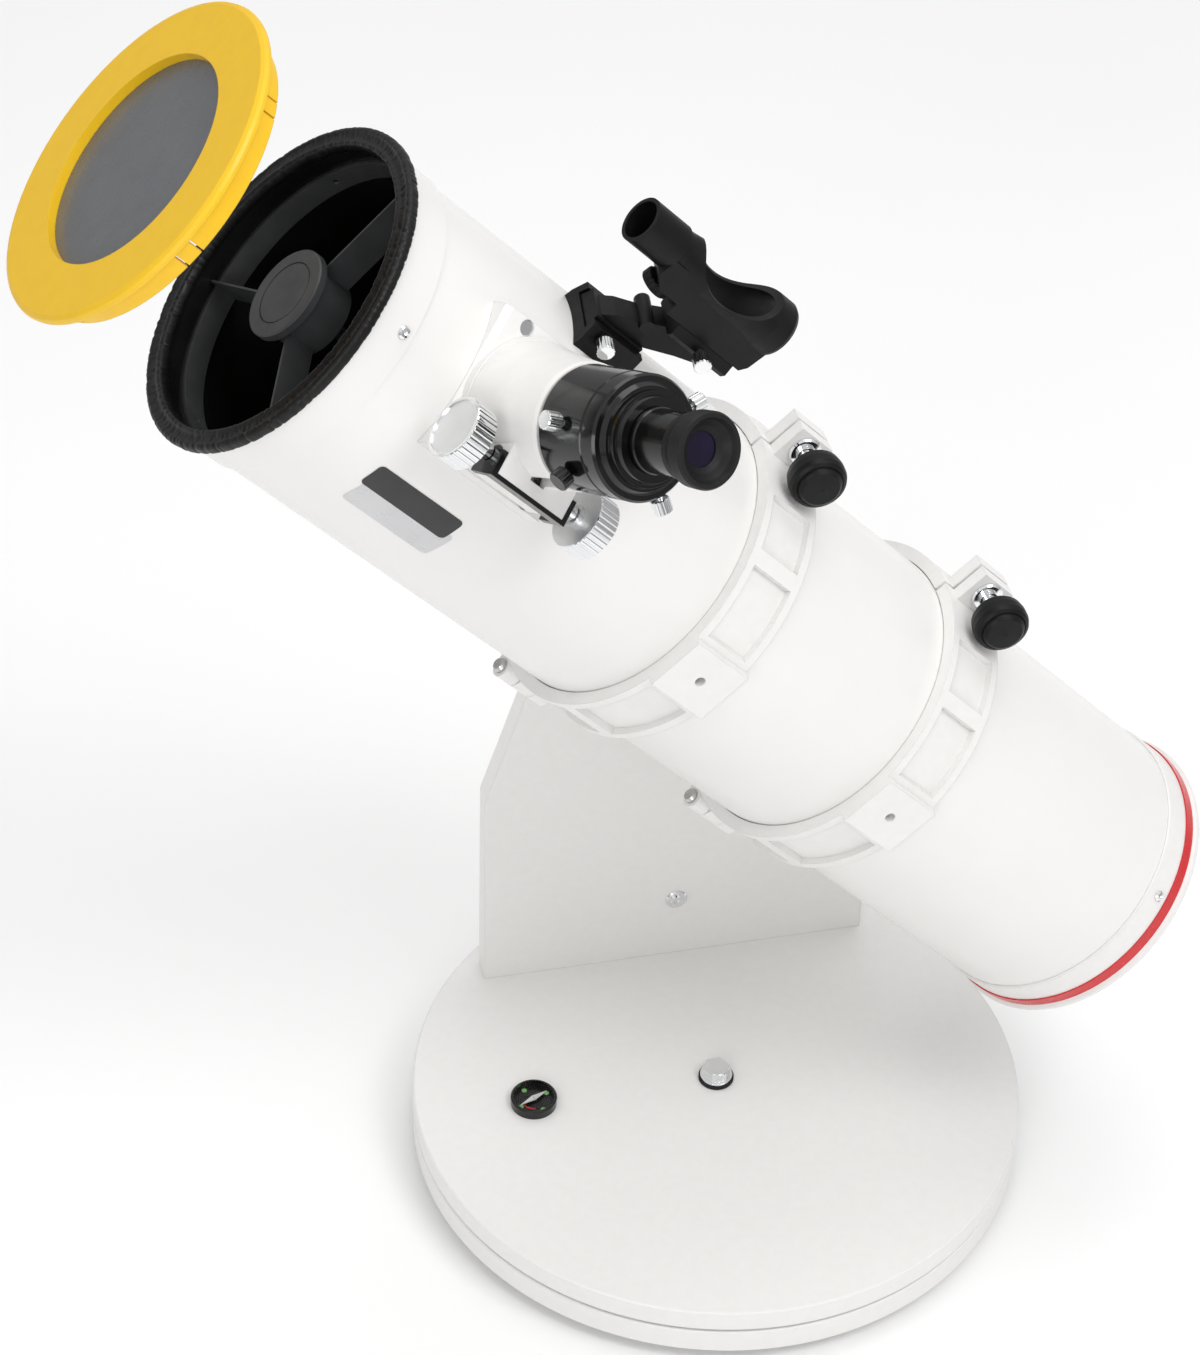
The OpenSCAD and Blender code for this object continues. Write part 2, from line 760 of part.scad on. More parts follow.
// Stepped adapter from the wide drawtube to the eyepiece barrel
module adapter() {
    color("#141414") on_focuser() difference() {
        along_x(adapter_x) rotate_extrude() polygon([[barrel_r + run, -24], [25.3, -24],
            [25.3, 0], [holder_r - 0.8, 0], [holder_r, 1], [holder_r, 9.6],
            [holder_r - 1.2, 11], [28.4, 11], [26.6, 13.4], [25, 13.4], [24.4, 16.4],
            [22.6, 16.4], [21.6, 19.6], [barrel_r + run, 19.6]]);
        for (a = [147, 236]) on_holder(a, adapter_x + 5.4) cylinder(r = 2 + run, h = 30);
    }
}

module adapter_screw(a) {
    color("#2a2a2a") on_focuser() on_holder(a, adapter_x + 5.4) thumbscrew(2, 15, 1.6, 5, 8);
}

module adapter_screw_1() { adapter_screw(147); }
module adapter_screw_2() { adapter_screw(236); }

// Eyepiece: barrel, body, rubber cup and eye lens
module eyepiece() {
    top = 249.4;
    color("#141414") on_focuser() {
        along_x(180) ring(barrel_r, barrel_r - 1.6, 27);
        along_x(206.4) rotate_extrude() polygon([[9, 0], [17, 0], [17, 2], [16.4, 3],
            [16.4, 24.6], [17, 25.6], [17, 28.6], [18.4, 31], [19.4, 34],
            [19.6, top - 208], [18.6, top - 206.4], [16.6, top - 206.4], [15, top - 209],
            [12, top - 212], [9, top - 214]]);
    }
    color("steelblue", 0.6) on_focuser() along_x(top - 11) cylinder(r = 9, h = 2.6);
}

// ---------- finder ----------

// Channel shoe bolted to the tube
module finder_shoe() {
    color("#1c1c1c") on_tube(finder_phi, shoe_s) difference() {
        translate([0, 0, -19]) linear_extrude(38) difference() {
            polygon([[80, -20], [94, -20], [105, -17], [105, -12], [98, -14.3], [98, 14.3],
                [105, 12], [105, 17], [94, 20], [80, 20]]);
            circle(r = tube_r);
        }
        translate([101, -10, 8]) rotate([90, 0, 0]) cylinder(r = 2 + run, h = 12);
    }
}

module finder_screw_1() {
    color("silver") on_tube(finder_phi, shoe_s) translate([101, -13.2, 8])
        rotate([90, 0, 0]) thumbscrew(2, 4.8, 2.2, 5, 9);
}

// Leaning stalk: foot in the shoe, web, and the rail under the sight
module finder_bracket() {
    color("#1c1c1c") on_tube(finder_phi, shoe_s) {
        translate([0, 0, -18]) linear_extrude(36) polygon([[98.3, -13.2], [104, -11.2],
            [107, -11.2], [107, 11.2], [104, 11.2], [98.3, 13.2]]);
        translate([0, 8, 0]) rotate([90, 0, 0]) linear_extrude(16)
            polygon([[106, -18], [106, 16], [112, 8], [117, -4], [126, -19], [128, -62],
                [123, -62], [114, -36]]);
        translate([119, 12, -8]) rotate([90, 0, 0]) cylinder(r = 4.5, h = 24);
        difference() {
            translate([0, 0, -62]) linear_extrude(44) polygon([[124, -13], [127, -15],
                [133, -12.4], [133, 12.4], [127, 15], [124, 13]]);
            translate([128, -10, -40]) rotate([90, 0, 0]) cylinder(r = 2 + run, h = 12);
        }
    }
}

module finder_screw_2() {
    color("silver") on_tube(finder_phi, shoe_s) translate([128, -11, -40])
        rotate([90, 0, 0]) thumbscrew(2, 4.6, 1.6, 5, 9);
}

// Red-dot sight: front tube, neck, and an open-topped housing that ends in a round hood
module finder_body() {
    h = finder_r;
    color("#1c1c1c") on_tube(finder_phi, 0) difference() {
        union() {
            translate([h, 0, 256]) ring(13.2, 11, 26);
            translate([h, 0, 171]) rotate_extrude() polygon([[0, 0], [15.8, 0], [17, 2.4],
                [17, 13], [15.6, 26], [14.8, 60], [12.2, 80], [12, 86], [0, 86]]);
            translate([0, 13, 0]) rotate([90, 0, 0]) linear_extrude(26)
                polygon([[133.3, 174], [133.3, 233.4], [141, 234], [141, 248], [148, 256],
                    [h, 256], [h, 171.4], [138, 171.4]]);
        }
        translate([h, 0, 250]) cylinder(r = 9.6, h = 40);
        translate([h, 0, 168]) cylinder(r = 12.6, h = 70);
        translate([h, 0, 230]) cylinder(r = 9.6, h = 40);
        translate([h + 31, 0, 216]) rotate([90, 0, 0]) cylinder(r = 34, h = 60, center = true);
    }
}

module finder_window() {
    color("indianred", 0.5) on_tube(finder_phi, 0) translate([finder_r, 0, 259])
        cylinder(r = 10.9, h = 2);
}

// Brightness wheel under the sight
module finder_switch() {
    color("#1c1c1c") on_tube(finder_phi, 243.6) translate([140.6, 0, 0]) rotate([0, -90, 0])
        knurled(9, 5.6, 18, 1);
}

// ---------- solar filter cap ----------

module solar_cap() {
    color("gold") tube_frame() translate([cap_off, 0, cap_s]) difference() {
        rotate_extrude() polygon([[62, -5.4], [62, 0], [cap_r - 3, 0], [cap_r - 0.8, -1],
            [cap_r, -3], [cap_r - 0.4, -5], [plug_r, -7], [plug_r, -19], [plug_r - 2.4, -19],
            [plug_r - 2.4, -5.4], [70, -3.6], [70, -5.4]]);
        for (a = [20, 27, 80, 87, 140, 147, 200, 207, 260, 267, 320, 327]) rotate([0, 0, -a])
            translate([plug_r - 4, -0.6, -20]) cube([6, 1.2, 12]);
    }
}

module solar_film() {
    color("dimgray") tube_frame() translate([cap_off, 0, cap_s - 6.6])
        cylinder(r = 69, h = 1.2);
}

ground_board();
feet();
glide_pads();
azimuth_bolt();
turntable_board();
side_board();
brace_board();
board_bolts();
compass_housing();
compass_needle();
compass_glass();
altitude_bush();
saddle_plate();
altitude_shaft();
saddle_knob();
altitude_knob();
dovetail_bar();
ring_front_fixed();
ring_front_swing();
ring_rear_fixed();
ring_rear_swing();
ring_hinge_pins();
ring_knob_front();
ring_knob_rear();
main_tube();
front_ring();
rim_trim();
spider();
secondary_holder();
secondary_mirror();
tube_screws();
rear_ring();
red_band();
mirror_cell();
primary_mirror();
collimation_knob_1();
collimation_knob_2();
collimation_knob_3();
focuser_base();
focuser_body();
pinion_cover();
pinion_shaft();
focus_knobs();
drawtube();
holder_ring();
holder_screw();
lock_screw();
adapter();
adapter_screw_1();
adapter_screw_2();
eyepiece();
finder_shoe();
finder_screw_1();
finder_bracket();
finder_screw_2();
finder_body();
finder_window();
finder_switch();
solar_cap();
solar_film();
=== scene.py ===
"""Looks of a white dobsonian telescope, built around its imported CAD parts. Metres."""
import json
import math

import bpy
from mathutils import Matrix, Vector, noise as chaos

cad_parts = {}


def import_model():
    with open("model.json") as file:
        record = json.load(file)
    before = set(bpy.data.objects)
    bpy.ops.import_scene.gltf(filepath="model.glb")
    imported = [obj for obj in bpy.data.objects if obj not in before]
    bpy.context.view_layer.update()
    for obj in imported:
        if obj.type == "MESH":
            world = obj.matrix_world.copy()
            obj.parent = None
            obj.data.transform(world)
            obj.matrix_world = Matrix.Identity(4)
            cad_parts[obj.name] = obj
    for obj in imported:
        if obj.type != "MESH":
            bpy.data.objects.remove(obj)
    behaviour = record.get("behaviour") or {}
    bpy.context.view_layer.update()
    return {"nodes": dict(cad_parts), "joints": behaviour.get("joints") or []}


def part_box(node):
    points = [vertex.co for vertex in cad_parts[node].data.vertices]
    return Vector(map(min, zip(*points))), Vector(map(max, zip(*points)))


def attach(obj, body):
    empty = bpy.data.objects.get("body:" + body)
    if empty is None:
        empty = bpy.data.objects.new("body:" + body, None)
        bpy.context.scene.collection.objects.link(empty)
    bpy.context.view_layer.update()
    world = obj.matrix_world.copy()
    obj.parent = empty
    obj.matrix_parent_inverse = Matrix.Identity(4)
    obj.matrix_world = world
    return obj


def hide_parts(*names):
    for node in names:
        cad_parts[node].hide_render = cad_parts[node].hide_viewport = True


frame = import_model()
NODES = frame["nodes"]
JOINTS = {joint["name"]: joint for joint in frame["joints"]}

# ---------- the frame's own directions ----------

# SKY runs up the tube, BOARD from the tube to the side board, and BACK squarely to both.
SKY = Vector(JOINTS["tube_slide"]["axis"]).normalized()
BOARD = Vector((0, 1, 0))
BACK = BOARD.cross(SKY).normalized()


def centre(node):
    low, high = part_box(node)
    return (low + high) / 2


def size(node):
    low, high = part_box(node)
    return high - low


TUBE_MID = centre("main_tube")
TUBE_RADIUS = size("main_tube").y / 2


ALTITUDE_POINT = Vector(JOINTS["altitude"]["pos_m"])
# The point of the tube's axis beside the altitude joint. All places along the tube count from it.
TUBE_POINT = Vector((ALTITUDE_POINT.x, TUBE_MID.y, ALTITUDE_POINT.z))
FOCUS_OUT = Vector(JOINTS["focus_travel"]["axis"]).normalized()
FOCUS_SIDE = SKY.cross(FOCUS_OUT)
FOCUS_S = (centre("holder_ring") - TUBE_POINT).dot(SKY)
FOCUS_POINT = TUBE_POINT + SKY * FOCUS_S


def on_tube(phi, s, r):
    """A point told by the tube: phi degrees from BACK towards the user, s along its axis, r away from it."""
    turn = math.radians(phi)
    radial = BACK * math.cos(turn) - BOARD * math.sin(turn)
    return TUBE_POINT + SKY * s + radial * r


def in_focuser(point):
    """A point told in the focuser's own directions: out of the tube, across it, and along the tube."""
    step = point - FOCUS_POINT
    return step.dot(FOCUS_OUT), step.dot(FOCUS_SIDE), step.dot(SKY)

# ---------- materials ----------


# The part of a noise that is spread over a roughness, and where a colour ramp on it starts and stops.
NOISE_LOW, NOISE_HIGH = 0.3, 0.7
RAMP_START, RAMP_STOP = 0.35, 0.65
ROUGH_TO_WEAR = 2.3
COAT_ROUGHNESS = 0.1
GRAIN_STRENGTH = 0.6
# Nearer to the axis than this below the tube's radius, its paint is the black of the inside.
ENAMEL_DEPTH = 0.0004
ENAMEL_ROUGHNESS = 0.26


def new_material(name):
    material = bpy.data.materials.new(name)
    material.use_nodes = True
    tree = material.node_tree
    return material, tree, tree.nodes["Principled BSDF"]


def add(tree, kind, **values):
    """A new node; each value sets a property of it, or else the input of that name."""
    node = tree.nodes.new(kind)
    for key, value in values.items():
        if hasattr(node, key):
            setattr(node, key, value)
        else:
            node.inputs[key.replace("_", " ")].default_value = value
    return node


def object_place(tree):
    return add(tree, "ShaderNodeTexCoord").outputs["Object"]


def noise(tree, scale, detail):
    node = add(tree, "ShaderNodeTexNoise", Scale=scale, Detail=detail, Roughness=0.5)
    tree.links.new(object_place(tree), node.inputs["Vector"])
    return node.outputs["Fac"]


def spread(tree, source, low, high):
    node = add(tree, "ShaderNodeMapRange")
    node.inputs["To Min"].default_value = low
    node.inputs["To Max"].default_value = high
    node.inputs["From Min"].default_value = NOISE_LOW
    node.inputs["From Max"].default_value = NOISE_HIGH
    tree.links.new(source, node.inputs["Value"])
    return node.outputs["Result"]


def two_colours(tree, source, first, second):
    ramp = add(tree, "ShaderNodeValToRGB")
    ramp.color_ramp.elements[0].position = RAMP_START
    ramp.color_ramp.elements[0].color = (*first, 1)
    ramp.color_ramp.elements[1].position = RAMP_STOP
    ramp.color_ramp.elements[1].color = (*second, 1)
    tree.links.new(source, ramp.inputs["Fac"])
    return ramp.outputs["Color"]


def bump(tree, shader, heights, edge=0.0):
    """Chains bump nodes; heights are (source, distance in metres, strength).

    An edge radius in metres rounds the corners in the shading.
    """
    last = None
    if edge:
        last = add(tree, "ShaderNodeBevel", samples=4, Radius=edge).outputs["Normal"]
    for source, distance, strength in heights:
        node = add(tree, "ShaderNodeBump", Distance=distance, Strength=strength)
        tree.links.new(source, node.inputs["Height"])
        if last is not None:
            tree.links.new(last, node.inputs["Normal"])
        last = node.outputs["Normal"]
    tree.links.new(last, shader.inputs["Normal"])


def surface(name, first, second, rough, grain, grain_depth, metallic=0.0, coat=0.0, wear=60.0,
            specular=0.5, edge=0.0):
    """A surface whose colour and roughness drift slowly, with a fine grain in its bump.

    wear is how fine the drift is and grain how fine the bump, grain_depth and edge are in metres.
    """
    material, tree, shader = new_material(name)
    drift = noise(tree, wear, 5)
    tree.links.new(two_colours(tree, drift, first, second), shader.inputs["Base Color"])
    unevenness = spread(tree, noise(tree, wear * ROUGH_TO_WEAR, 6), *rough)
    tree.links.new(unevenness, shader.inputs["Roughness"])
    shader.inputs["Metallic"].default_value = metallic
    shader.inputs["Coat Weight"].default_value = coat
    shader.inputs["Coat Roughness"].default_value = COAT_ROUGHNESS
    shader.inputs["Specular IOR Level"].default_value = specular
    bump(tree, shader, [(noise(tree, grain, 3), grain_depth, GRAIN_STRENGTH)], edge)
    return material


def tube_paint():
    """Gloss white enamel outside, matt black inside, told apart by the distance from the tube's axis."""
    material, tree, shader = new_material("tube_enamel")
    place = object_place(tree)
    offset = add(tree, "ShaderNodeVectorMath", operation="SUBTRACT")
    offset.inputs[1].default_value = TUBE_POINT
    tree.links.new(place, offset.inputs[0])
    cross = add(tree, "ShaderNodeVectorMath", operation="CROSS_PRODUCT")
    cross.inputs[1].default_value = SKY
    tree.links.new(offset.outputs["Vector"], cross.inputs[0])
    radius = add(tree, "ShaderNodeVectorMath", operation="LENGTH")
    tree.links.new(cross.outputs["Vector"], radius.inputs[0])
    outside = add(tree, "ShaderNodeMath", operation="GREATER_THAN")
    outside.inputs[1].default_value = TUBE_RADIUS - ENAMEL_DEPTH
    tree.links.new(radius.outputs["Value"], outside.inputs[0])
    colour = add(tree, "ShaderNodeMix", data_type="RGBA")
    tree.links.new(outside.outputs["Value"], colour.inputs["Factor"])
    inside = two_colours(tree, noise(tree, 30, 4), (0.004, 0.004, 0.0045), (0.008, 0.008, 0.008))
    tree.links.new(inside, colour.inputs["A"])
    tree.links.new(two_colours(tree, noise(tree, 18, 4), WHITE, WHITE_2), colour.inputs["B"])
    tree.links.new(colour.outputs["Result"], shader.inputs["Base Color"])
    shader.inputs["Roughness"].default_value = ENAMEL_ROUGHNESS
    bump(tree, shader, [(noise(tree, 300, 1), 0.00001, 0.12)])
    return material


WHITE = (0.81, 0.80, 0.785)
WHITE_2 = (0.795, 0.785, 0.77)
BLACK = (0.0025, 0.0025, 0.0028)
BLACK_2 = (0.0045, 0.0045, 0.0048)

MATERIALS = {
    # Boards, tube, metals, plastics and rubber.
    "laminate": surface("white_laminate", WHITE, WHITE_2, (0.38, 0.46), 1500, 0.00003,
                        wear=160, edge=0.0012),
    "casting": surface("ring_casting", (0.80, 0.79, 0.775), (0.78, 0.77, 0.755), (0.32, 0.42), 1600, 0.00004,
                       wear=120, edge=0.0009),
    "enamel": tube_paint(),
    "rubber": surface("foot_rubber", BLACK, BLACK_2, (0.6, 0.8), 1600, 0.00008, edge=0.0006),
    "cup": surface("eyecup_rubber", (0.008, 0.008, 0.0085), (0.011, 0.011, 0.0115), (0.45, 0.55),
                   2600, 0.00003, specular=0.25, edge=0.0006),
    "ptfe": surface("bearing_plastic", (0.75, 0.75, 0.72), (0.7, 0.7, 0.68), (0.4, 0.5), 700, 0.00002),
    "zinc": surface("zinc_steel", (0.50, 0.50, 0.49), (0.62, 0.62, 0.60), (0.22, 0.38), 1800, 0.00004,
                    metallic=1.0, edge=0.0004),
    "chrome": surface("chrome_plate", (0.83, 0.84, 0.85), (0.78, 0.79, 0.80), (0.05, 0.11), 2500, 0.00001,
                      metallic=1.0, edge=0.0003),
    "satin": surface("satin_chrome", (0.80, 0.81, 0.82), (0.76, 0.77, 0.78), (0.32, 0.42), 3000, 0.00002,
                     metallic=1.0),
    "black_plastic": surface("black_plastic", BLACK, BLACK_2, (0.36, 0.48), 2600, 0.00005,
                             specular=0.22, edge=0.0006),
    "gloss_black": surface("black_anodised", (0.004, 0.004, 0.0045), BLACK, (0.10, 0.17), 2400, 0.00001,
                           coat=0.25, specular=0.35, edge=0.0004),
    "matt_black": surface("matt_black_paint", (0.040, 0.042, 0.044), (0.052, 0.054, 0.056), (0.4, 0.5),
                          1800, 0.00004, edge=0.0005),
    "trim": surface("rim_trim_leather", BLACK, BLACK_2, (0.36, 0.48), 1500, 0.0001, specular=0.3),
    "red": surface("red_band_paint", (0.60, 0.006, 0.010), (0.56, 0.005, 0.009), (0.18, 0.28), 1200, 0.00002,
                   coat=0.4),
    "yellow": surface("cap_plastic", (0.86, 0.53, 0.008), (0.84, 0.51, 0.008), (0.36, 0.46), 1500, 0.00004,
                      wear=90, edge=0.0008),
    # Film, glass, compass and label.
    "film": surface("filter_film_foil", (0.115, 0.12, 0.13), (0.105, 0.11, 0.12), (0.24, 0.32), 260, 0.00004,
                    specular=0.8),
    "mirror": surface("aluminised_glass", (0.80, 0.82, 0.84), (0.78, 0.80, 0.83), (0.01, 0.03), 300, 0.000001,
                      metallic=1.0),
    "lens": surface("coated_lens", (0.010, 0.008, 0.022), (0.016, 0.010, 0.030), (0.04, 0.08), 300, 0.000001,
                    specular=0.2),
    "needle": surface("needle_enamel", (0.80, 0.80, 0.80), (0.75, 0.75, 0.75), (0.3, 0.4), 900, 0.00001),
    "lime": surface("luminous_mark", (0.25, 0.62, 0.16), (0.22, 0.56, 0.14), (0.4, 0.5), 900, 0.00001),
    "scarlet": surface("dial_arc_red", (0.55, 0.02, 0.02), (0.50, 0.02, 0.02), (0.35, 0.45), 900, 0.00001),
    "label": surface("label_black", (0.018, 0.018, 0.019), (0.022, 0.022, 0.023), (0.3, 0.38),
                     1200, 0.00001),
    "label_grey": surface("label_silver", (0.60, 0.60, 0.61), (0.57, 0.57, 0.58), (0.25, 0.33),
                          1200, 0.00001),
}

# The compass cover is see-through, with a low index so that it doesn't hide its dial.
dome = surface("clear_dome", (0.9, 0.9, 0.9), (0.88, 0.88, 0.88), (0.02, 0.05), 500, 0.000002)
dome_shader = dome.node_tree.nodes["Principled BSDF"]
dome_shader.inputs["Transmission Weight"].default_value = 1.0
dome_shader.inputs["IOR"].default_value = 1.1
MATERIALS["clear"] = dome

# Which CAD nodes get which material.
FINISH = {
    "laminate": ["ground_board", "turntable_board", "side_board", "brace_board"],
    "casting": ["ring_front_fixed", "ring_front_swing", "ring_rear_fixed", "ring_rear_swing", "rear_ring",
                "focuser_base", "focuser_body"],
    "enamel": ["main_tube", "front_ring"],
    "rubber": ["feet"],
    "ptfe": ["glide_pads"],
    "zinc": ["altitude_shaft", "ring_hinge_pins"],
    "chrome": ["azimuth_bolt", "board_bolts", "tube_screws", "focus_knobs", "drawtube", "holder_screw",
               "finder_screw_1", "finder_screw_2", "pinion_shaft", "adapter_screw_1", "adapter_screw_2"],
    "black_plastic": ["altitude_bush", "saddle_knob", "altitude_knob", "ring_knob_front", "ring_knob_rear",
                      "collimation_knob_1", "collimation_knob_2", "collimation_knob_3", "finder_shoe",
                      "finder_bracket", "finder_body", "finder_switch", "secondary_holder"],
    "gloss_black": ["holder_ring", "adapter", "eyepiece", "lock_screw", "compass_housing", "dovetail_bar",
                    "saddle_plate", "pinion_cover"],
    "matt_black": ["spider", "mirror_cell"],
    "trim": ["rim_trim"],
    "red": ["red_band"],
    "yellow": ["solar_cap"],
    "film": ["solar_film", "finder_window"],
    "mirror": ["secondary_mirror", "primary_mirror"],
    "needle": ["compass_needle"],
    "clear": ["compass_glass"],
}


def paint(node, material):
    slots = NODES[node].data.materials
    slots.clear()
    slots.append(material)


for finish, names in FINISH.items():
    for name in names:
        paint(name, MATERIALS[finish])


def tint(node, finish, test):
    """Gives one finish to the faces of a node whose middle passes a test."""
    mesh = NODES[node].data
    mesh.materials.append(MATERIALS[finish])
    slot = len(mesh.materials) - 1
    for face in mesh.polygons:
        if test(face.center):
            face.material_index = slot


# ---------- parts of one CAD node that are made of different stuff ----------

# The ring knobs face -Y. Past their plastic cap, counted from its outer face, comes the steel bolt.
KNOB_CAP = 0.0208
for name in ("ring_knob_front", "ring_knob_rear"):
    tint(name, "chrome", lambda point, top=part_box(name)[0].y: point.y > top + KNOB_CAP)

# The azimuth bolt's black washer: just over the turntable, and wider than the bolt.
BOLT = centre("azimuth_bolt")
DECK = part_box("turntable_board")[1].z
WASHER_LOW, WASHER_HIGH, WASHER_INNER = 0.0001, 0.0022, 0.0052


def on_washer(point):
    return (DECK + WASHER_LOW < point.z < DECK + WASHER_HIGH
            and math.hypot(point.x - BOLT.x, point.y - BOLT.y) > WASHER_INNER)


# The four screws that hold the focuser's base: where their heads start, stand, and how wide they are.
BASE_SCREW_OUT, BASE_SCREW_ACROSS, BASE_SCREW_ALONG, BASE_SCREW_R = 0.0904, 0.0375, 0.025, 0.0043


def on_base_screw(point):
    out, across, along = in_focuser(point)
    aside = math.hypot(abs(across) - BASE_SCREW_ACROSS, abs(along) - BASE_SCREW_ALONG)
    return out > BASE_SCREW_OUT and aside < BASE_SCREW_R


# The small screws of the pinion cover stand in one row along the tube.
COVER_FACE, COVER_ROW_OUT, COVER_ROW_HALF, COVER_ROW_REACH = -0.0429, 0.1221, 0.0022, 0.0225


def on_cover_screw(point):
    out, across, along = in_focuser(point)
    return (across < COVER_FACE and abs(out - COVER_ROW_OUT) < COVER_ROW_HALF
            and abs(along) < COVER_ROW_REACH)


SHAFT_OUT, SHAFT_ACROSS, _ = in_focuser(centre("pinion_shaft"))
KNOB_FACE = 0.0152


def on_knob_face(point):
    """The recessed round faces at the ends of the focus knobs."""
    out, across, _ = in_focuser(point)
    return math.hypot(out - SHAFT_OUT, across - SHAFT_ACROSS) < KNOB_FACE


# Along the eyepiece: where its rubber cup starts, and the lens inside the cup.
CUP_START, LENS_START, LENS_R = 0.2322, 0.236, 0.0091


def on_cup(point):
    return in_focuser(point)[0] > CUP_START


def on_lens(point):
    out, across, along = in_focuser(point)
    return out > LENS_START and math.hypot(across, along) < LENS_R


tint("azimuth_bolt", "rubber", on_washer)
tint("focuser_base", "chrome", on_base_screw)
tint("pinion_cover", "chrome", on_cover_screw)
tint("focus_knobs", "satin", on_knob_face)
tint("eyepiece", "cup", on_cup)
tint("eyepiece", "lens", on_lens)

# ---------- pieces built here ----------


def make(name, vertices, faces, finish, body, smooth=True):
    """A mesh object of one material that rides on a body."""
    mesh = bpy.data.meshes.new(name)
    mesh.from_pydata(vertices, [], faces)
    mesh.update()
    made = bpy.data.objects.new(name, mesh)
    bpy.context.scene.collection.objects.link(made)
    made.data.materials.append(MATERIALS[finish])
    for face in mesh.polygons:
        face.use_smooth = smooth
    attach(made, body)
    return made


def smooth_loop(corners, steps):
    """A closed curve through the corners, rounded by Catmull-Rom steps."""
    points = []
    count = len(corners)
    for i in range(count):
        a, b, c, d = (Vector(corners[(i + k) % count]) for k in (-1, 0, 1, 2))
        for j in range(steps):
            t = j / steps
            points.append(0.5 * (2 * b + (c - a) * t + (2 * a - 5 * b + 4 * c - d) * t ** 2
                                 + (3 * b - a - 3 * c + d) * t ** 3))
    return points


TRIM_INNER = 0.0855
# How much narrower and lower the roll is than the CAD part that it replaces.
TRIM_SKIN = 0.0003
TRIM_LIP = 0.0004
TRIM_AROUND = 720
# Each crease noise: the radius of its circle in noise space, its drift across the roll, and its depth.
CREASES = ((44, 1.6, 0.0008), (95, 5, 0.0005))
CREASE_TOP = 0.05


def wrinkled_trim():
    """The soft black roll around the tube's mouth, gathered into small radial creases."""
    inner = TRIM_INNER
    outer = size("rim_trim").y / 2 - TRIM_SKIN
    heights = [(Vector(corner.co) - TUBE_POINT).dot(SKY) for corner in NODES["rim_trim"].data.vertices]
    low = min(heights)
    deep = max(heights) - low - TRIM_LIP
    section = smooth_loop([(inner, 0.0008), (inner + 0.006, 0.0001), (outer - 0.004, 0.0001),
                           (outer - 0.0006, 0.0012), (outer, 0.0042), (outer - 0.0006, deep - 0.0012),
                           (outer - 0.0026, deep - 0.0001), (outer - 0.0046, deep - 0.0009),
                           (inner + 0.0045, deep - 0.0010), (inner + 0.0024, deep - 0.0001),
                           (inner + 0.0004, deep - 0.0012)], 4)
    vertices = []
    for i in range(TRIM_AROUND):
        turn = 360 * i / TRIM_AROUND
        angle = math.radians(turn)
        middle = on_tube(turn, low + deep / 2, (inner + outer) / 2)
        for radius, height in section:
            edge_on = (radius - inner) / (outer - inner)
            dent = 0.0
            for count, drift, depth in CREASES:
                spot = Vector((math.cos(angle) * count, math.sin(angle) * count, edge_on * drift))
                dent += depth * min(chaos.noise(spot), CREASE_TOP)
            place = on_tube(turn, low + height, radius)
            vertices.append(place + (place - middle).normalized() * dent)
    ring = len(section)
    faces = []
    for i in range(TRIM_AROUND):
        here, there = i * ring, (i + 1) % TRIM_AROUND * ring
        for j in range(ring):
            after = (j + 1) % ring
            faces.append((here + j, here + after, there + after, there + j))
    trim = make("rim_trim_roll", vertices, faces, "trim", "tube")
    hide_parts("rim_trim")


LABEL_COLUMNS, LABEL_ROWS = 24, 12
LABEL_CORNER = 0.003


def label(name, low_phi, high_phi, low_s, high_s, finish, lift):
    """A blank sticker bent round the tube, with rounded corners. It lies lift metres off the enamel."""
    vertices, faces = [], []
    columns, rows, corner = LABEL_COLUMNS, LABEL_ROWS, LABEL_CORNER
    radius = TUBE_RADIUS + lift
    corner_turn = math.degrees(corner / radius)
    for i in range(columns + 1):
        along = i / columns
        s = low_s + (high_s - low_s) * (1 - math.cos(math.pi * along)) / 2
        inset = corner - min(s - low_s, high_s - s)
        cut = 0.0
        if inset > 0:
            cut = corner_turn * (1 - math.sqrt(max(0.0, 1 - (inset / corner) ** 2)))
        for j in range(rows + 1):
            phi = low_phi + cut + (high_phi - low_phi - 2 * cut) * j / rows
            vertices.append(on_tube(phi, s, radius))
    for i in range(columns):
        for j in range(rows):
            a = i * (rows + 1) + j
            faces.append((a, a + 1, a + rows + 2, a + rows + 1))
    make(name, vertices, faces, finish, "tube")


DIAL_HEIGHT = 0.0023
DOT_PLACE, DOT_R, DOT_FIRST, DOT_SIDES = 0.0102, 0.0017, 25, 24
ARC_INNER, ARC_OUTER, ARC_FIRST, ARC_STEP, ARC_STEPS = 0.0070, 0.0085, 205, 5, 12


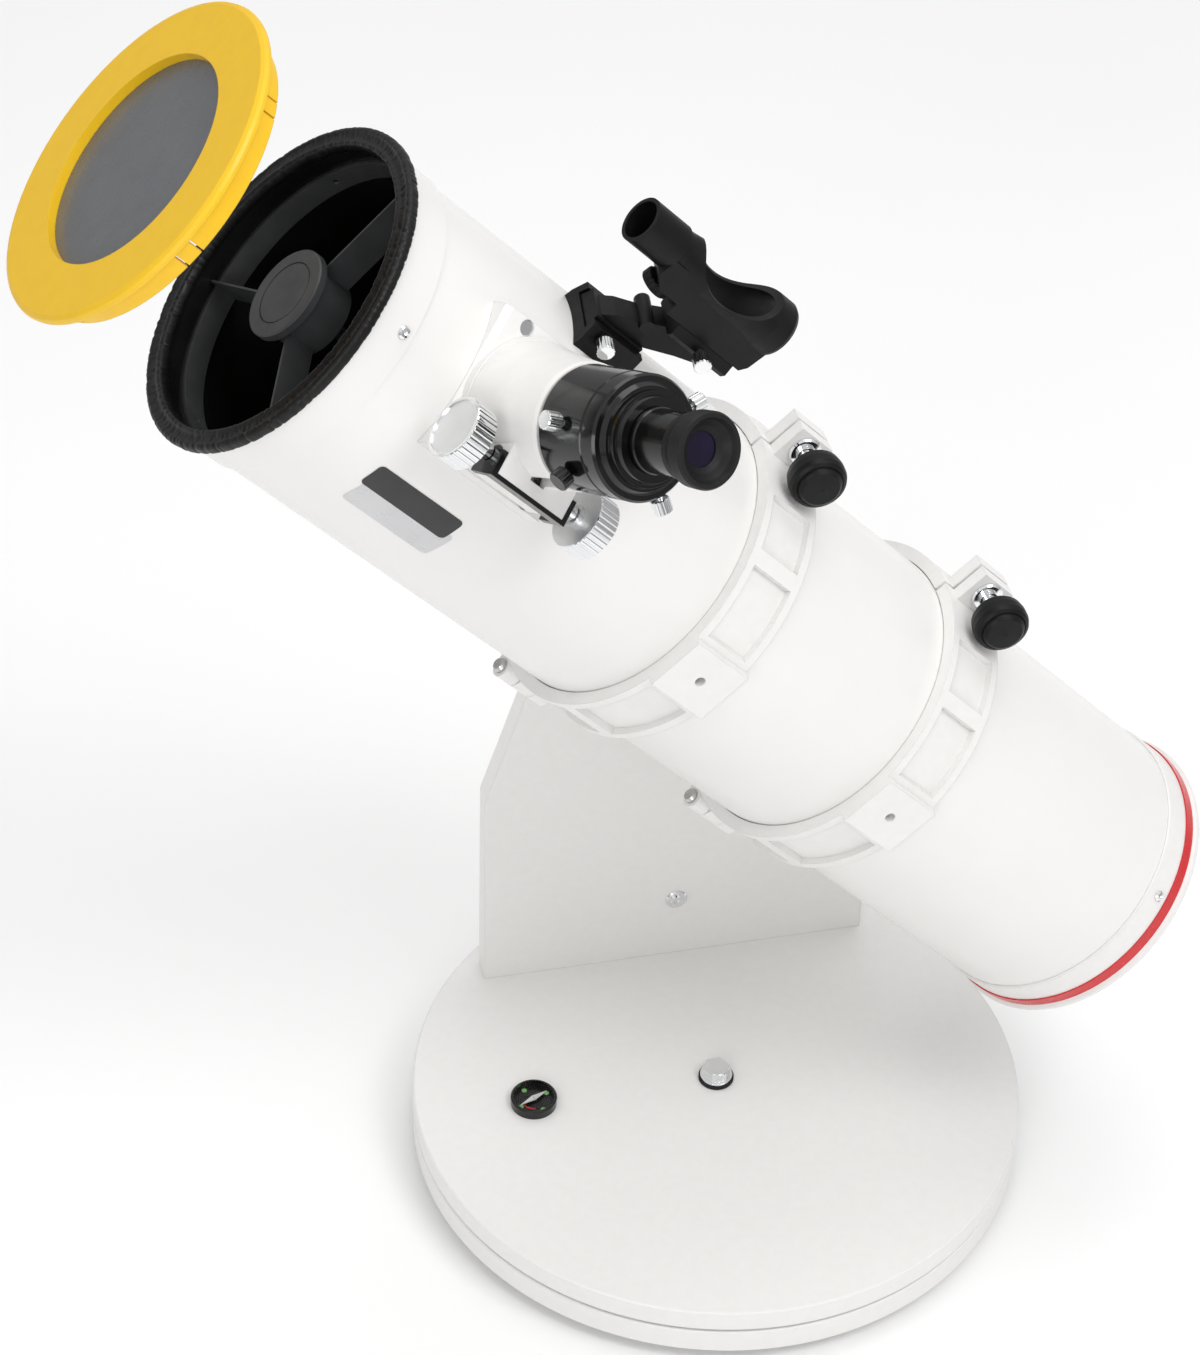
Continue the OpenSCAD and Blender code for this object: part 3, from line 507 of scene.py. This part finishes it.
def dial_marks():
    """Four luminous dots and a red arc on the compass dial, under its clear cover."""
    middle = centre("compass_housing")
    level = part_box("compass_housing")[0].z + DIAL_HEIGHT
    for k in range(4):
        turn = math.radians(90 * k + DOT_FIRST)
        spot = Vector((middle.x + DOT_PLACE * math.cos(turn), middle.y + DOT_PLACE * math.sin(turn), level))
        rim = []
        for i in range(DOT_SIDES):
            angle = math.radians(360 / DOT_SIDES * i)
            rim.append(spot + Vector((DOT_R * math.cos(angle), DOT_R * math.sin(angle), 0)))
        make("dial_dot_%d" % (k + 1), rim, [tuple(range(DOT_SIDES))], "lime", "turntable", False)
    arc = []
    for i in range(ARC_STEPS + 1):
        turn = math.radians(ARC_FIRST + ARC_STEP * i)
        for radius in (ARC_INNER, ARC_OUTER):
            arc.append(Vector((middle.x + radius * math.cos(turn), middle.y + radius * math.sin(turn), level)))
    quads = [(2 * i, 2 * i + 1, 2 * i + 3, 2 * i + 2) for i in range(ARC_STEPS)]
    make("dial_arc", arc, quads, "scarlet", "turntable", False)


wrinkled_trim()
label("name_plate", 96, 106.5, 0.261, 0.323, "label", 0.00016)
label("name_plate_foot", 103, 117, 0.257, 0.320, "label_grey", 0.0001)
dial_marks()

# ---------- stage, light and camera ----------

FLOOR_REACH = 6.0
# The camera's bearing, height and roll in degrees, its target, its distance from it and its lens.
CAMERA_ANGLES = (-14.06, 40.51, 1.93)
CAMERA_TARGET = (-0.0869, 0, 0.4024)
CAMERA_AWAY = 2.1612
CAMERA_LENS = 98.2
# The studio's grey at heights from the floor line up, and its grey below.
STUDIO_STOPS = ((0.02, 0.45), (0.30, 0.65), (0.62, 1.0))
STUDIO_LOW = 0.45


def stage():
    """A pale floor that catches the shadow."""
    mesh = bpy.data.meshes.new("floor")
    reach = FLOOR_REACH
    mesh.from_pydata([(-reach, -reach, 0), (reach, -reach, 0), (reach, reach, 0), (-reach, reach, 0)], [],
                     [(0, 1, 2, 3)])
    floor = bpy.data.objects.new("floor", mesh)
    bpy.context.scene.collection.objects.link(floor)
    floor.data.materials.append(surface("pale_floor", (0.93, 0.93, 0.93), (0.92, 0.92, 0.92), (0.6, 0.7),
                                        60, 0.00001, wear=2.0))


def soft_light(name, place, target, width, power):
    """A square lamp of some width in metres and power in watts that faces its target."""
    data = bpy.data.lights.new(name, "AREA")
    data.shape = "SQUARE"
    data.size = width
    data.energy = power
    lamp = bpy.data.objects.new(name, data)
    lamp.location = place
    lamp.rotation_euler = (Vector(target) - Vector(place)).to_track_quat("-Z", "Y").to_euler()
    bpy.context.scene.collection.objects.link(lamp)


def world(strength):
    """A white studio that darkens towards the floor line, so polished metal has something to mirror."""
    made = bpy.data.worlds.new("studio")
    made.use_nodes = True
    tree = made.node_tree
    background = tree.nodes["Background"]
    height = add(tree, "ShaderNodeSeparateXYZ")
    tree.links.new(add(tree, "ShaderNodeTexCoord").outputs["Generated"], height.inputs[0])
    ramp = add(tree, "ShaderNodeValToRGB")
    for position, level in STUDIO_STOPS:
        stop = ramp.color_ramp.elements.new(position)
        stop.color = (level, level, level, 1)
    ramp.color_ramp.elements[0].color = (STUDIO_LOW, STUDIO_LOW, STUDIO_LOW, 1)
    tree.links.new(height.outputs["Z"], ramp.inputs["Fac"])
    tree.links.new(ramp.outputs["Color"], background.inputs["Color"])
    background.inputs["Strength"].default_value = strength
    bpy.context.scene.world = made


def camera():
    """A long lens from the front and above, level apart from a slight roll."""
    azimuth, elevation, roll = (math.radians(angle) for angle in CAMERA_ANGLES)
    away = Vector((math.sin(azimuth) * math.cos(elevation), -math.cos(azimuth) * math.cos(elevation),
                   math.sin(elevation)))
    right = Vector((math.cos(azimuth), math.sin(azimuth), 0))
    up = away.cross(right)
    rolled = right * math.cos(roll) + up * math.sin(roll)
    upright = up * math.cos(roll) - right * math.sin(roll)
    data = bpy.data.cameras.new("camera")
    data.lens = CAMERA_LENS
    data.sensor_width = 36
    data.clip_end = 50
    maker = bpy.data.objects.new("camera", data)
    basis = Matrix((rolled, upright, away)).transposed().to_4x4()
    basis.translation = Vector(CAMERA_TARGET) + away * CAMERA_AWAY
    maker.matrix_world = basis
    bpy.context.scene.collection.objects.link(maker)
    bpy.context.scene.camera = maker


stage()
world(0.86)
soft_light("key", (0.9, -1.2, 2.5), (0, 0, 0.4), 1.1, 22)
soft_light("fill", (-1.2, -2.0, 1.3), (0, 0.1, 0.4), 1.0, 12)
soft_light("top", (0.3, 0.6, 2.6), (0, 0, 0.3), 1.2, 9)
camera()
bpy.context.scene.view_settings.view_transform = "Standard"
